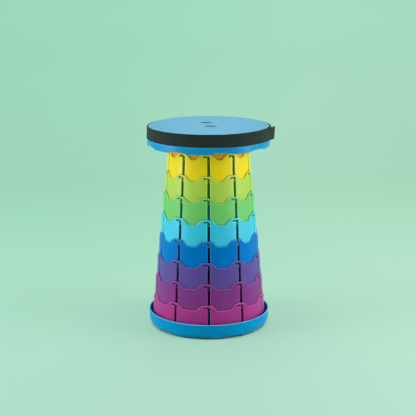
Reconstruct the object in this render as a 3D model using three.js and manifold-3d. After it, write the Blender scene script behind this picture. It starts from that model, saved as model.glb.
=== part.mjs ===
// Collapsible telescopic stool.
// Nine tapered rings slide into each other between a base tray and a seat cover.
// Millimetres, +Z up, origin on the floor under the middle of the stool.
// Azimuths start at the front, at -Y, and grow towards +X.
import * as THREE from 'three';
import { mergeVertices } from 'three/addons/utils/BufferGeometryUtils.js';
import Module from 'manifold-3d';

// Overall sizes
const seatRadius = 125;
const ringPitch = 44;
const ringOverlap = 13;
const ringDraft = 0.045;
const sectorCount = 10;
const fitGap = 0.3;
const cutOverrun = 1;

// Rings, from the widest to the narrowest
const ringColours = {
  ring_pink: 0xa63884,
  ring_violet: 0x833e88,
  ring_indigo: 0x5c529a,
  ring_blue: 0x0474be,
  ring_cyan: 0x48bcda,
  ring_green: 0x6ebe68,
  ring_lime: 0xa6cb56,
  ring_yellow: 0xd8ca26,
  ring_orange: 0xde8630,
};
const ringWall = 2.2;
const nestGap = 3;
const runningGap = 0.32;
const ringFacet = THREE.MathUtils.degToRad(6);

// Sectors at the back, counted from the front, whose walls have no slot
const closedSectors = [4, 5, 6];

// Wavy upper edge of a ring, measured along its crest circle from a slot's middle
const crestLeft = 15.5;
const crestRight = 6.5;
const crestSlopeRun = 11.2;
const crestSlopeDrop = 11.2;

// Slot and hook of a ring, with heights down from the crest
const slotWidth = 5.8;
const slotBridge = 1;
const hookRoofDrop = 3;
const hookCornerDrop = 4.6;
const tongueWidth = 3.4;
const tongueDrop = 5.6;
const legWidth = 4.8;
const legDrop = 6.8;

// Lock peg on the foot of a ring
const pegSideGap = 0.3;
const pegHeight = 2.4;
const pegDrop = 6.8;
const pegPlay = 0.12;
const pegRoot = 1;

// Seat cover
const seatPlate = 3.2;
const seatWall = 2.4;
const seatRimBevel = 1.2;
const skirtLip = 2.3;
const skirtShoulder = 1.5;
const skirtDepth = 40.7;
const skirtLobeCount = 9;
const skirtArchRise = 3.4;
const skirtArchAzimuth = THREE.MathUtils.degToRad(11.5);
const seatRibWidth = 2;
const seatRibDepth = 6;
const seatRibInner = 12;
const seatRibClearance = 3;
const recessLength = 24;
const recessWidth = 12;
const recessDepth = 1.2;
const recessSpacing = 50;
const recessShift = 8;
const recessStagger = 9;

// Seat hub
const hubPlate = 2.5;
const hubRimWall = 2.4;
const hubDrop = 13;
const hubRimDrop = 2.5;
const hubBore = 35;
const hubScrewInset = 16;

// Base tray
const trayRimHeight = 32.8;
const trayRimGap = 5.7;
const trayWall = 2.4;
const trayWallTaper = 0.8;
const trayBendHeight = 14;
const trayBendReach = 9.2;
const trayFootLift = 0.5;
const trayArchRise = 4.8;
const trayArchAzimuth = THREE.MathUtils.degToRad(-12);
const trayFloorHeight = 5.5;
const trayFloor = 2.5;
const trayBossHeight = 1.9;

// Floor flange of the widest ring
const flangeThickness = 3;
const flangeScrewInset = 12;
const flangeEdge = 9.5;

// Screws, with a shank that turns in a blind hole
const screwCount = 5;
const screwHeadRadius = 3.75;
const screwHeadHeight = 2.4;
const screwShankRadius = 1.8;
const seatScrewLength = 9.5;
const traySkin = 1.1;
const bossWall = 2.4;

// Rubber feet
const footCount = 5;
const footRadius = 8;
const footThickness = 2.5;
const footCupWall = 1.7;
const footCupLip = 0.8;
const footInset = 27.3;

// Carrying strap with its two sewn patches
const strapWidth = 25.4;
const strapThickness = 2.8;
const strapStart = THREE.MathUtils.degToRad(15);
const strapClimb = THREE.MathUtils.degToRad(10);
const strapLeave = THREE.MathUtils.degToRad(64);
const strapTail = 43;
const strapFacet = THREE.MathUtils.degToRad(7.5);
const patchThickness = 0.9;
const patchInset = 1.5;
const hookPatchStart = 24;
const hookPatchLength = 17;
const loopPatchStart = THREE.MathUtils.degToRad(76);
const loopPatchEnd = THREE.MathUtils.degToRad(97);

// Colours of the other pieces
const shellColour = 0x1086c0;
const strapColour = 0x1e2422;
const rubberColour = 0x2b2d30;
const steelColour = 0xb9bcc0;

// Smoothness of round pieces and of wavy edges
const coarseSides = 10;
const fineSides = 50;
const weldTolerance = 1e-4;
const trayArchShares = { flat: 0.42, foot: 0.65 };
const skirtArchShares = { flat: 0.15, foot: 0.66 };
const flankShares = [0, 0.33, 0.67, 1];
const bendRowShares = [0.4];

// Sizes that follow
const ringNames = Object.keys(ringColours);
const ringHeight = ringPitch + ringOverlap;
const ringStep = ringWall + runningGap + ringDraft * ringPitch;
const sectorAngle = (2 * Math.PI) / sectorCount;
const skirtRadius = seatRadius + skirtLip;
const widestFootRadius = seatRadius - seatWall - nestGap;
const widestCrestRadius = widestFootRadius - ringDraft * ringHeight;
const narrowestCrestRadius = widestCrestRadius - ringStep * (ringNames.length - 1);
const narrowestFootInside = narrowestCrestRadius + ringDraft * ringHeight - ringWall;
const trayFloorTop = trayFloorHeight + trayFloor;
const trayBossTop = trayFloorTop + trayBossHeight;
const flangeUnderside = trayBossTop + fitGap;
const nestHeight = flangeUnderside + flangeThickness + fitGap;
const topCrestHeight = nestHeight + ringHeight + ringPitch * (ringNames.length - 1);
const seatUnderside = topCrestHeight + fitGap;
const seatTop = seatUnderside + seatPlate;
const flangeScrewCircle = narrowestFootInside - flangeScrewInset;
const flangeBore = flangeScrewCircle - flangeEdge;
const hubRadius = narrowestCrestRadius - ringWall - fitGap;
const hubScrewCircle = hubRadius - hubRimWall - hubScrewInset;
const hubUnderside = topCrestHeight - hubDrop;
const hubPlateTop = hubUnderside + hubPlate;
const bossUnderside = hubPlateTop + fitGap;
const screwHoleRadius = screwShankRadius + fitGap;
const bossRadius = screwHoleRadius + bossWall;
const pegWidth = legWidth - 2 * pegSideGap;
const pegReach = runningGap + ringDraft * ringPitch - fitGap;
const pegMiddle = ringOverlap - pegDrop;
const slotFoot = pegMiddle + pegHeight / 2 + slotBridge;
const strapInside = seatRadius + fitGap;
const strapOutsideLayer = strapInside + strapThickness + fitGap;
const strapFoot = seatTop - strapWidth;
const shoulderTop = strapFoot - fitGap;
const trayArches = {
  first: trayArchAzimuth,
  count: sectorCount,
  shares: trayArchShares,
  rise: trayArchRise,
};
const skirtArches = {
  first: skirtArchAzimuth,
  count: skirtLobeCount,
  shares: skirtArchShares,
  rise: skirtArchRise,
};

const wasm = await Module();
wasm.setup();

// Geometry helpers

function weld(geometry) {
  const bare = new THREE.BufferGeometry();
  bare.setAttribute('position', geometry.getAttribute('position'));
  bare.setIndex(geometry.getIndex());
  const merged = mergeVertices(bare, weldTolerance);
  const corners = merged.getIndex().array;
  const kept = [];
  for (let i = 0; i < corners.length; i += 3) {
    const [a, b, c] = corners.slice(i, i + 3);
    if (a !== b && b !== c && c !== a) {
      kept.push(a, b, c);
    }
  }
  merged.setIndex(kept);
  return merged;
}

function toSolid(geometry) {
  const welded = weld(geometry);
  return new wasm.Manifold(new wasm.Mesh({
    numProp: 3,
    vertProperties: new Float32Array(welded.getAttribute('position').array),
    triVerts: new Uint32Array(welded.getIndex().array),
  }));
}

function toGeometry(solid) {
  const mesh = solid.getMesh();
  const geometry = new THREE.BufferGeometry();
  geometry.setAttribute('position', new THREE.BufferAttribute(new Float32Array(mesh.vertProperties), 3));
  geometry.setIndex(Array.from(mesh.triVerts));
  return geometry;
}

// Joins the added geometries to the base and cuts the removed ones out of it
function carve(base, added, removed) {
  let solid = toSolid(base);
  for (const geometry of added) {
    solid = solid.add(toSolid(geometry));
  }
  for (const geometry of removed) {
    solid = solid.subtract(toSolid(geometry));
  }
  return toGeometry(solid);
}

// Turns a closed profile of radius and height round the Z axis
function turned(profile, sides) {
  const points = profile.map(([radius, height]) => new THREE.Vector2(radius, height));
  return new THREE.LatheGeometry(points, sides).rotateX(Math.PI / 2);
}

function disc(radius, bottom, top, sides) {
  return turned([[0, bottom], [radius, bottom], [radius, top], [0, top]], sides);
}

// Moves a geometry that is built on the Z axis to a place on a circle
function placeOnCircle(geometry, radius, azimuth) {
  return geometry.translate(radius * Math.sin(azimuth), -radius * Math.cos(azimuth), 0);
}

function evenAzimuths(count, first) {
  return Array.from({ length: count }, (_, i) => first + (i * 2 * Math.PI) / count);
}

function pointAt(radius, azimuth, height) {
  return [radius * Math.sin(azimuth), -radius * Math.cos(azimuth), height];
}

function indexed(positions, corners) {
  const geometry = new THREE.BufferGeometry();
  geometry.setAttribute('position', new THREE.Float32BufferAttribute(positions, 3));
  geometry.setIndex(corners);
  return geometry;
}

// Round shell whose profile may change with the azimuth.
// Each profile starts and ends on the axis and has as many points as the others.
function wavyShell(azimuths, profileAt) {
  const positions = [];
  const corners = [];
  const rows = profileAt(azimuths[0]).length;
  for (const azimuth of azimuths) {
    for (const [radius, height] of profileAt(azimuth)) {
      positions.push(...pointAt(radius, azimuth, height));
    }
  }
  for (let i = 0; i < azimuths.length; i += 1) {
    const here = i * rows;
    const next = ((i + 1) % azimuths.length) * rows;
    for (let row = 0; row < rows - 1; row += 1) {
      corners.push(here + row, next + row, next + row + 1);
      corners.push(here + row, next + row + 1, here + row + 1);
    }
  }
  return indexed(positions, corners);
}

// Azimuths that follow the arches of a wavy edge: both flanks, the arch's middle and the lobe's
function archAzimuths({ first, count, shares }) {
  const halfPitch = Math.PI / count;
  const flank = flankShares.map((share) => THREE.MathUtils.lerp(shares.flat, shares.foot, share));
  const offsets = [...flank.map((share) => -share).reverse(), 0, ...flank, 1];
  return evenAzimuths(count, first)
    .flatMap((middle) => offsets.map((offset) => middle + offset * halfPitch));
}

// Height of a wavy edge above its lobes
function archHeight(azimuth, { first, count, shares, rise }) {
  const turns = ((azimuth - first) * count) / (2 * Math.PI);
  const offset = 2 * Math.abs(turns - Math.round(turns));
  return rise * (1 - THREE.MathUtils.smoothstep(offset, shares.flat, shares.foot));
}

// Rings

// Cells below a crest. A cell is left bottom, right bottom, left top, right top.
function crestStrips(foot, slotted) {
  const top = ringHeight;
  const roof = top - hookRoofDrop;
  const whole = [foot, foot, top, top];
  const left = -slotWidth / 2;
  const right = slotWidth / 2;
  const tongueLeft = left - tongueWidth;
  const legLeft = tongueLeft - legWidth;
  if (!slotted) {
    return [{ at: tongueLeft, cells: [whole] }, { at: right, cells: [whole] }];
  }
  return [
    { at: legLeft, cells: [[foot, foot, top - legDrop, top - legDrop], [roof, roof, top, top]] },
    { at: tongueLeft, cells: [[foot, foot, top - tongueDrop, top - tongueDrop], [roof, roof, top, top]] },
    { at: left, cells: [[foot, foot, slotFoot, slotFoot], [roof, roof - hookCornerDrop, top, top]] },
    { at: right, cells: [whole] },
  ];
}

// Columns and filled cells of one sector
function sectorStrips(crestRadius, foot, slotted) {
  const top = ringHeight;
  const trough = top - crestSlopeDrop;
  const strips = [
    { at: -crestLeft - crestSlopeRun, cells: [[foot, foot, trough, top]] },
    { at: -crestLeft, cells: [[foot, foot, top, top]] },
    ...crestStrips(foot, slotted),
    { at: crestRight, cells: [[foot, foot, top, trough]] },
  ];
  const troughStart = crestRight + crestSlopeRun;
  const troughRun = sectorAngle * crestRadius - crestLeft - crestSlopeRun - troughStart;
  const troughSteps = Math.ceil(troughRun / crestRadius / ringFacet);
  for (let i = 0; i < troughSteps; i += 1) {
    const at = troughStart + (i * troughRun) / troughSteps;
    strips.push({ at, cells: [[foot, foot, trough, trough]] });
  }
  return strips;
}

function ringWallGeometry(crestRadius, foot) {
  const columns = [];
  for (let sector = 0; sector < sectorCount; sector += 1) {
    for (const strip of sectorStrips(crestRadius, foot, !closedSectors.includes(sector))) {
      columns.push({ azimuth: sector * sectorAngle + strip.at / crestRadius, cells: strip.cells });
    }
  }
  return stripShell(columns, (height) => crestRadius + ringDraft * (ringHeight - height), ringWall);
}

// Thin round wall made of upright strips, each with one or more filled cells
function stripShell(columns, outsideAt, wall) {
  const positions = [];
  const corners = [];
  const count = columns.length;
  const spansAt = (i, side) => columns[(i + count) % count].cells.map((cell) => [cell[side], cell[side + 2]]);
  const levels = columns.map((_, i) => {
    const heights = [...spansAt(i - 1, 1), ...spansAt(i, 0)].flat();
    return [...new Set(heights)].sort((a, b) => a - b);
  });
  const vertices = levels.map((heights, i) => new Map(heights.map((height) => {
    const first = positions.length / 3;
    positions.push(...pointAt(outsideAt(height), columns[i].azimuth, height));
    positions.push(...pointAt(outsideAt(height) - wall, columns[i].azimuth, height));
    return [height, { outside: first, inside: first + 1 }];
  })));
  const rowOf = (i, bottom, top) => levels[i]
    .filter((height) => height >= bottom && height <= top)
    .map((height) => vertices[i].get(height));
  const quad = (a, b, c, d) => corners.push(a, b, c, a, c, d);

  for (let i = 0; i < count; i += 1) {
    const next = (i + 1) % count;
    for (const [leftBottom, rightBottom, leftTop, rightTop] of columns[i].cells) {
      const leftRow = rowOf(i, leftBottom, leftTop);
      const rightRow = rowOf(next, rightBottom, rightTop);
      fillBetween(leftRow, rightRow, corners);
      const [leftLow, leftHigh] = [leftRow[0], leftRow[leftRow.length - 1]];
      const [rightLow, rightHigh] = [rightRow[0], rightRow[rightRow.length - 1]];
      quad(leftHigh.outside, rightHigh.outside, rightHigh.inside, leftHigh.inside);
      quad(leftLow.inside, rightLow.inside, rightLow.outside, leftLow.outside);
    }
    const filled = (side, strip, middle) => spansAt(strip, side)
      .some(([bottom, top]) => middle > bottom && middle < top);
    for (let j = 0; j < levels[i].length - 1; j += 1) {
      const middle = (levels[i][j] + levels[i][j + 1]) / 2;
      const before = filled(1, i - 1, middle);
      const after = filled(0, i, middle);
      const low = vertices[i].get(levels[i][j]);
      const high = vertices[i].get(levels[i][j + 1]);
      if (before && !after) {
        quad(low.outside, low.inside, high.inside, high.outside);
      }
      if (after && !before) {
        quad(low.inside, low.outside, high.outside, high.inside);
      }
    }
  }
  return indexed(positions, corners);
}

// Both faces of a cell, between all the levels of its left and right columns
function fillBetween(leftRow, rightRow, corners) {
  let left = 0;
  let right = 0;
  while (left < leftRow.length - 1 || right < rightRow.length - 1) {
    const stepLeft = right === rightRow.length - 1
      || (left < leftRow.length - 1 && left / leftRow.length <= right / rightRow.length);
    const here = [leftRow[left], rightRow[right]];
    if (stepLeft) {
      left += 1;
    } else {
      right += 1;
    }
    const third = stepLeft ? leftRow[left] : rightRow[right];
    corners.push(here[0].outside, here[1].outside, third.outside);
    corners.push(here[1].inside, here[0].inside, third.inside);
  }
}

// Slanted peg that fits through the hook's channel, drawn round its own middle
function pegShape() {
  const slant = Math.atan2(hookCornerDrop, slotWidth);
  const across = (tongueDrop - hookRoofDrop) * Math.cos(slant) - pegPlay;
  const halfWidth = pegWidth / 2;
  const halfHeight = pegHeight / 2;
  const cornerX = (across / 2 - halfHeight * Math.cos(slant)) / Math.sin(slant);
  const cornerY = (across / 2 - halfWidth * Math.sin(slant)) / Math.cos(slant);
  return new THREE.Shape([
    new THREE.Vector2(-halfWidth, -cornerY),
    new THREE.Vector2(-cornerX, -halfHeight),
    new THREE.Vector2(halfWidth, -halfHeight),
    new THREE.Vector2(halfWidth, cornerY),
    new THREE.Vector2(cornerX, halfHeight),
    new THREE.Vector2(-halfWidth, halfHeight),
  ]);
}

// Pegs that stand out of a round wall, one for each slot
function pegs(wallRadius, reach, shiftAngle, height) {
  const azimuths = evenAzimuths(sectorCount, 0).filter((_, i) => !closedSectors.includes(i));
  return azimuths.map((azimuth) => {
    const turn = azimuth + shiftAngle;
    const across = new THREE.Vector3(Math.cos(turn), Math.sin(turn), 0);
    const up = new THREE.Vector3(0, 0, 1);
    const out = new THREE.Vector3(Math.sin(turn), -Math.cos(turn), 0);
    const frame = new THREE.Matrix4().makeBasis(across, up, out);
    frame.setPosition(...pointAt(wallRadius - pegRoot, turn, height));
    const peg = new THREE.ExtrudeGeometry(pegShape(), { depth: pegRoot + reach, bevelEnabled: false });
    return peg.applyMatrix4(frame);
  });
}

function slidingRing(crestRadius) {
  const wallRadius = crestRadius + ringDraft * (ringHeight - pegMiddle);
  return carve(ringWallGeometry(crestRadius, 0), pegs(wallRadius, pegReach, 0, pegMiddle), []);
}

// The widest ring has no pegs, but an inward flange that is screwed to the tray
function footedRing(crestRadius) {
  const flangeTop = -fitGap;
  const flangeFoot = flangeTop - flangeThickness;
  const flangeRadius = crestRadius + ringDraft * ringHeight - ringWall / 2;
  const flange = turned([
    [flangeBore, flangeFoot],
    [flangeRadius, flangeFoot],
    [flangeRadius, flangeTop],
    [flangeBore, flangeTop],
    [flangeBore, flangeFoot],
  ], fineSides);
  const holes = screwAzimuths().map((azimuth) => placeOnCircle(
    disc(screwHoleRadius, flangeFoot - cutOverrun, flangeTop + cutOverrun, coarseSides),
    flangeScrewCircle,
    azimuth,
  ));
  return carve(ringWallGeometry(crestRadius, flangeFoot), [flange], holes);
}

// Base tray

function trayOutsideAt(height) {
  const bendRadius = trayRimOutside() - trayWallTaper;
  if (height >= trayBendHeight) {
    const share = (height - trayBendHeight) / (trayRimHeight - trayBendHeight);
    return bendRadius + trayWallTaper * share;
  }
  return bendRadius - trayBendReach * (1 - height / trayBendHeight) ** 2;
}

function trayRimOutside() {
  return widestFootRadius + trayRimGap + trayWall;
}

function trayProfile(azimuth) {
  const edge = trayFootLift + archHeight(azimuth, trayArches);
  const outside = (height) => [trayOutsideAt(height), height];
  const inside = (height) => [trayOutsideAt(height) - trayWall, height];
  const bendRows = bendRowShares.map((share) => edge + share * (trayBendHeight - edge));
  return [
    [0, trayFloorHeight],
    inside(trayFloorHeight),
    inside(edge),
    outside(edge),
    ...bendRows.map(outside),
    outside(trayBendHeight),
    outside(trayRimHeight),
    inside(trayRimHeight),
    inside(trayBendHeight),
    inside(trayFloorTop),
    [0, trayFloorTop],
  ];
}

// Cup below the tray's floor that holds a rubber foot
function footCup() {
  const recess = footRadius + fitGap;
  const roof = footThickness + fitGap;
  const root = trayFloorHeight + trayFloor / 2;
  return turned([
    [0, roof],
    [recess, roof],
    [recess, footCupLip],
    [recess + footCupWall, footCupLip],
    [recess + footCupWall, root],
    [0, root],
  ], coarseSides);
}

function footPlaces() {
  const circle = widestFootRadius - footInset;
  const outer = evenAzimuths(footCount, 0).map((azimuth, i) => ({
    name: `rubber_foot_${i + 1}`,
    circle,
    azimuth,
  }));
  return [{ name: 'rubber_foot_middle', circle: 0, azimuth: 0 }, ...outer];
}

function baseTray() {
  const shell = wavyShell(archAzimuths(trayArches), trayProfile);
  const cups = footPlaces().map(({ circle, azimuth }) => placeOnCircle(footCup(), circle, azimuth));
  const bosses = screwAzimuths().map((azimuth) => placeOnCircle(
    disc(bossRadius, trayFloorHeight + trayFloor / 2, trayBossTop, coarseSides),
    flangeScrewCircle,
    azimuth,
  ));
  const holes = screwAzimuths().map((azimuth) => placeOnCircle(
    disc(screwHoleRadius, trayFloorHeight + traySkin, trayBossTop + cutOverrun, coarseSides),
    flangeScrewCircle,
    azimuth,
  ));
  return carve(shell, [...cups, ...bosses], holes);
}

// Seat cover

// The skirt stands out below the strap as a wavy lip
function seatProfile(azimuth) {
  const edge = seatTop - skirtDepth + archHeight(azimuth, skirtArches);
  return [
    [0, seatUnderside],
    [seatRadius - seatWall, seatUnderside],
    [seatRadius - seatWall, shoulderTop],
    [skirtRadius - seatWall, shoulderTop - skirtShoulder],
    [skirtRadius - seatWall, edge],
    [skirtRadius, edge],
    [skirtRadius, shoulderTop - skirtShoulder],
    [seatRadius, shoulderTop],
    [seatRadius, seatTop - seatRimBevel],
    [seatRadius - seatRimBevel, seatTop],
    [0, seatTop],
  ];
}

// Plain oval recess in the seat's top
function recess(x, y) {
  const outline = new THREE.Shape();
  outline.absellipse(0, 0, recessLength / 2, recessWidth / 2, 0, 2 * Math.PI);
  const cutter = new THREE.ExtrudeGeometry(outline, {
    depth: recessDepth + cutOverrun,
    bevelEnabled: false,
    curveSegments: coarseSides,
  });
  return cutter.translate(x, y, seatTop - recessDepth);
}

function seatRib(azimuth) {
  const length = hubRadius - hubRimWall - seatRibClearance - seatRibInner;
  const rib = new THREE.BoxGeometry(length, seatRibWidth, seatRibDepth + seatPlate / 2);
  rib.translate(seatRibInner + length / 2, 0, seatUnderside + (seatPlate / 2 - seatRibDepth) / 2);
  return rib.rotateZ(azimuth - Math.PI / 2);
}

function seatCover() {
  const shell = wavyShell(archAzimuths(skirtArches), seatProfile);
  const bosses = screwAzimuths().map((azimuth) => placeOnCircle(
    disc(bossRadius, bossUnderside, seatUnderside + seatPlate / 2, coarseSides),
    hubScrewCircle,
    azimuth,
  ));
  const ribs = screwAzimuths().map(seatRib);
  const holes = screwAzimuths().map((azimuth) => placeOnCircle(
    disc(screwHoleRadius, bossUnderside - cutOverrun, hubUnderside + seatScrewLength + fitGap, coarseSides),
    hubScrewCircle,
    azimuth,
  ));
  const recesses = [
    recess(recessStagger / 2, recessShift - recessSpacing / 2),
    recess(-recessStagger / 2, recessShift + recessSpacing / 2),
  ];
  return carve(shell, [...bosses, ...ribs], [...holes, ...recesses]);
}

// Toothed hub that hooks the seat to the narrowest ring
function seatHub() {
  const rimTop = topCrestHeight - hubRimDrop;
  const dish = turned([
    [hubBore, hubUnderside],
    [hubRadius, hubUnderside],
    [hubRadius, rimTop],
    [hubRadius - hubRimWall, rimTop],
    [hubRadius - hubRimWall, hubPlateTop],
    [hubBore, hubPlateTop],
    [hubBore, hubUnderside],
  ], fineSides);
  const legAngle = -(slotWidth / 2 + tongueWidth + legWidth / 2) / narrowestCrestRadius;
  const pegHeightInLeg = topCrestHeight - legDrop + fitGap + pegHeight / 2;
  const lockPegs = pegs(hubRadius, ringWall, legAngle, pegHeightInLeg);
  const holes = screwAzimuths().map((azimuth) => placeOnCircle(
    disc(screwHoleRadius, hubUnderside - cutOverrun, hubPlateTop + cutOverrun, coarseSides),
    hubScrewCircle,
    azimuth,
  ));
  return carve(dish, lockPegs, holes);
}

// Screws and feet

function screwAzimuths() {
  return evenAzimuths(screwCount, sectorAngle / 2);
}

// Screw with its head down and its shank up, with the seat of its head at height 0
function screw(length) {
  return turned([
    [0, -screwHeadHeight],
    [screwHeadRadius - screwHeadHeight / 2, -screwHeadHeight],
    [screwHeadRadius, -screwHeadHeight / 2],
    [screwHeadRadius, 0],
    [screwShankRadius, 0],
    [screwShankRadius, length],
    [0, length],
  ], coarseSides);
}

function rubberFoot() {
  return disc(footRadius, 0, footThickness, coarseSides);
}

// Strap

// Inner radius of the strap: one turn on the skirt, then a climb over its own start
function strapRadiusAt(azimuth) {
  const climbed = (azimuth - (strapStart + 2 * Math.PI - strapClimb)) / strapClimb;
  return THREE.MathUtils.lerp(strapInside, strapOutsideLayer, THREE.MathUtils.smoothstep(climbed, 0, 1));
}

// Flat band between an inner and an outer line of points in the XY plane
function band(inner, outer, bottom, top) {
  const positions = [];
  const corners = [];
  inner.forEach(([x, y], i) => {
    const [outerX, outerY] = outer[i];
    positions.push(x, y, bottom, outerX, outerY, bottom, outerX, outerY, top, x, y, top);
  });
  const last = 4 * (inner.length - 1);
  for (let start = 0; start < last; start += 4) {
    for (let side = 0; side < 4; side += 1) {
      const a = start + side;
      const b = start + ((side + 1) % 4);
      corners.push(a, b + 4, b, a, a + 4, b + 4);
    }
  }
  corners.push(0, 1, 2, 0, 2, 3);
  corners.push(last, last + 2, last + 1, last, last + 3, last + 2);
  return indexed(positions, corners);
}

function arcAzimuths(start, end) {
  const steps = Math.ceil((end - start) / strapFacet);
  return Array.from({ length: steps + 1 }, (_, i) => start + ((end - start) * i) / steps);
}

// Points of the loose tail, a distance along it and a distance outwards
function tailPoint(along, outwards) {
  const radius = strapOutsideLayer + outwards;
  return [
    radius * Math.sin(strapLeave) + along * Math.cos(strapLeave),
    -radius * Math.cos(strapLeave) + along * Math.sin(strapLeave),
  ];
}

function arcPoint(radius, azimuth) {
  return pointAt(radius, azimuth, 0).slice(0, 2);
}

function strap() {
  const climbStart = strapStart + 2 * Math.PI - strapClimb;
  const leave = strapLeave + 2 * Math.PI;
  const azimuths = [
    ...arcAzimuths(strapStart, climbStart).slice(0, -1),
    ...arcAzimuths(climbStart, climbStart + strapClimb).slice(0, -1),
    ...arcAzimuths(climbStart + strapClimb, leave),
  ];
  const inner = azimuths.map((azimuth) => arcPoint(strapRadiusAt(azimuth), azimuth));
  const outer = azimuths.map((azimuth) => arcPoint(strapRadiusAt(azimuth) + strapThickness, azimuth));
  inner.push(tailPoint(strapTail, 0));
  outer.push(tailPoint(strapTail, strapThickness));
  return band(inner, outer, strapFoot, seatTop);
}

// Hook patch on the inner face of the loose tail
function hookPatch() {
  const ends = [hookPatchStart, hookPatchStart + hookPatchLength];
  const inner = ends.map((along) => tailPoint(along, -fitGap - patchThickness));
  const outer = ends.map((along) => tailPoint(along, -fitGap));
  return band(inner, outer, strapFoot + patchInset, seatTop - patchInset);
}

// Loop patch on the outer face of the strap's turn, next to the tail
function loopPatch() {
  const azimuths = arcAzimuths(loopPatchStart, loopPatchEnd);
  const inside = strapInside + strapThickness + fitGap;
  const inner = azimuths.map((azimuth) => arcPoint(inside, azimuth));
  const outer = azimuths.map((azimuth) => arcPoint(inside + patchThickness, azimuth));
  return band(inner, outer, strapFoot + patchInset, seatTop - patchInset);
}

// Assembly

function finish(color, roughness, metalness = 0) {
  return new THREE.MeshStandardMaterial({ color, roughness, metalness });
}

const shellFinish = finish(shellColour, 0.42);
const strapFinish = finish(strapColour, 0.95);
const rubberFinish = finish(rubberColour, 0.85);
const steelFinish = finish(steelColour, 0.35, 1);

function piece(name, geometry, material) {
  const mesh = new THREE.Mesh(geometry, material);
  mesh.name = name;
  return mesh;
}

function addFeet(parent) {
  for (const { name, circle, azimuth } of footPlaces()) {
    const foot = piece(name, rubberFoot(), rubberFinish);
    foot.position.set(...pointAt(circle, azimuth, 0));
    parent.add(foot);
  }
}

// Screws through the flange, with their heads up
function addTrayScrews(parent) {
  const seat = flangeUnderside + flangeThickness + fitGap;
  const length = seat - (trayFloorHeight + traySkin + fitGap);
  screwAzimuths().forEach((azimuth, i) => {
    const mesh = piece(`tray_screw_${i + 1}`, screw(length), steelFinish);
    mesh.position.set(...pointAt(flangeScrewCircle, azimuth, seat));
    mesh.rotation.x = Math.PI;
    parent.add(mesh);
  });
}

// Screws through the hub, with their heads down
function addSeatScrews(parent) {
  screwAzimuths().forEach((azimuth, i) => {
    const mesh = piece(`seat_screw_${i + 1}`, screw(seatScrewLength), steelFinish);
    mesh.position.set(...pointAt(hubScrewCircle, azimuth, hubUnderside - fitGap));
    parent.add(mesh);
  });
}

// Each ring stands one pitch above the ring that carries it
function addRings(parent) {
  let carrier = parent;
  ringNames.forEach((name, i) => {
    const stage = new THREE.Group();
    stage.position.z = i === 0 ? nestHeight : ringPitch;
    const crestRadius = widestCrestRadius - ringStep * i;
    const geometry = i === 0 ? footedRing(crestRadius) : slidingRing(crestRadius);
    stage.add(piece(name, geometry, finish(ringColours[name], 0.4)));
    carrier.add(stage);
    carrier = stage;
  });
}

const stool = new THREE.Group();
stool.name = 'telescopic_stool';
stool.add(piece('base_tray', baseTray(), shellFinish));
addFeet(stool);
addTrayScrews(stool);
addRings(stool);
stool.add(piece('seat_cover', seatCover(), shellFinish));
stool.add(piece('seat_hub', seatHub(), shellFinish));
addSeatScrews(stool);
stool.add(piece('strap', strap(), strapFinish));
stool.add(piece('strap_hook_patch', hookPatch(), strapFinish));
stool.add(piece('strap_loop_patch', loopPatch(), strapFinish));

export default stool;
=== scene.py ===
import math

import bpy
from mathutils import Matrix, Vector
from mathutils.geometry import delaunay_2d_cdt


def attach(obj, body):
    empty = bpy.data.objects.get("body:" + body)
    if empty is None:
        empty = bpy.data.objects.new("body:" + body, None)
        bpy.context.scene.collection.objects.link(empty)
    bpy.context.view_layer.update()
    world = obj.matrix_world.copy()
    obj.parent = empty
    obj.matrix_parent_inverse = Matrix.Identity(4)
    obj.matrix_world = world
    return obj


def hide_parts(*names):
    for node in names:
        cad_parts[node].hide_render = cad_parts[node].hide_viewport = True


# Collapsible telescopic stool, dressed round its fixed frame.
# Sizes are in millimetres until a point is made, and azimuths grow from the front towards +X.
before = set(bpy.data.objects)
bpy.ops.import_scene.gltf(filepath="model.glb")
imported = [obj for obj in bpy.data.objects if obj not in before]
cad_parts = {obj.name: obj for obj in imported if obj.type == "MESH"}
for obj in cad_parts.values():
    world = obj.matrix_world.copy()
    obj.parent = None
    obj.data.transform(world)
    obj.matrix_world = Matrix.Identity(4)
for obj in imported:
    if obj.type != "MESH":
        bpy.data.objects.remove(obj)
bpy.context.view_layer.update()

MM = 0.001
WELD = 0.0005
ARC_STEP = math.radians(18)
FACE_STEP = 6
CIRCLE_STEPS = 240
ROUND_STEPS = 48
EDGE_STEPS = 3

# Rings, from the widest to the narrowest
RING_NAMES = ["pink", "violet", "indigo", "blue", "cyan", "green", "lime", "yellow", "orange"]
RING_BODIES = ["base", "violet_stage", "indigo_stage", "blue_stage", "cyan_stage", "green_stage",
               "lime_stage", "yellow_stage", "seat"]
SECTORS = 10
CLOSED_SECTORS = (4, 5, 6)
RING_HEIGHT = 57
RING_PITCH = 44
RING_WALL = 2.2
RING_DRAFT = 0.045
RING_STEP = 4.5
WIDEST_CREST_RADIUS = 117.035
WIDEST_FOOT = 13.5
EDGE_ROUNDING = 1.2
EDGE_CHAMFER = 0.4

# Wavy upper edge of a ring
CREST_LEFT = 15.5
CREST_RIGHT = 6.5
CREST_RUN = 11.2
CREST_DROP = 11.2
CREST_ROUNDING = 8
TROUGH_ROUNDING = 3

# Slot and hook, with heights down from the crest
SLOT_WIDTH = 5.8
SLOT_FOOT = 8.4
ROOF_DROP = 3
TONGUE_WIDTH = 3.4
TONGUE_DROP = 5.6
LEG_WIDTH = 4.8
LEG_DROP = 6.8
ROOF_ROUNDING = 5.2
TONGUE_ROUNDING = 1.3
LEG_ROUNDING = 0.55
SLOT_ROUNDING = 1.2

# Lock peg
PEG_WIDTH = 4.2
PEG_HEIGHT = 2.4
PEG_MIDDLE = 6.2
PEG_REACH = 2
PEG_ROOT = 1
PEG_SHOULDER = 0.44
PEG_ROUNDING = 0.3

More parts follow.
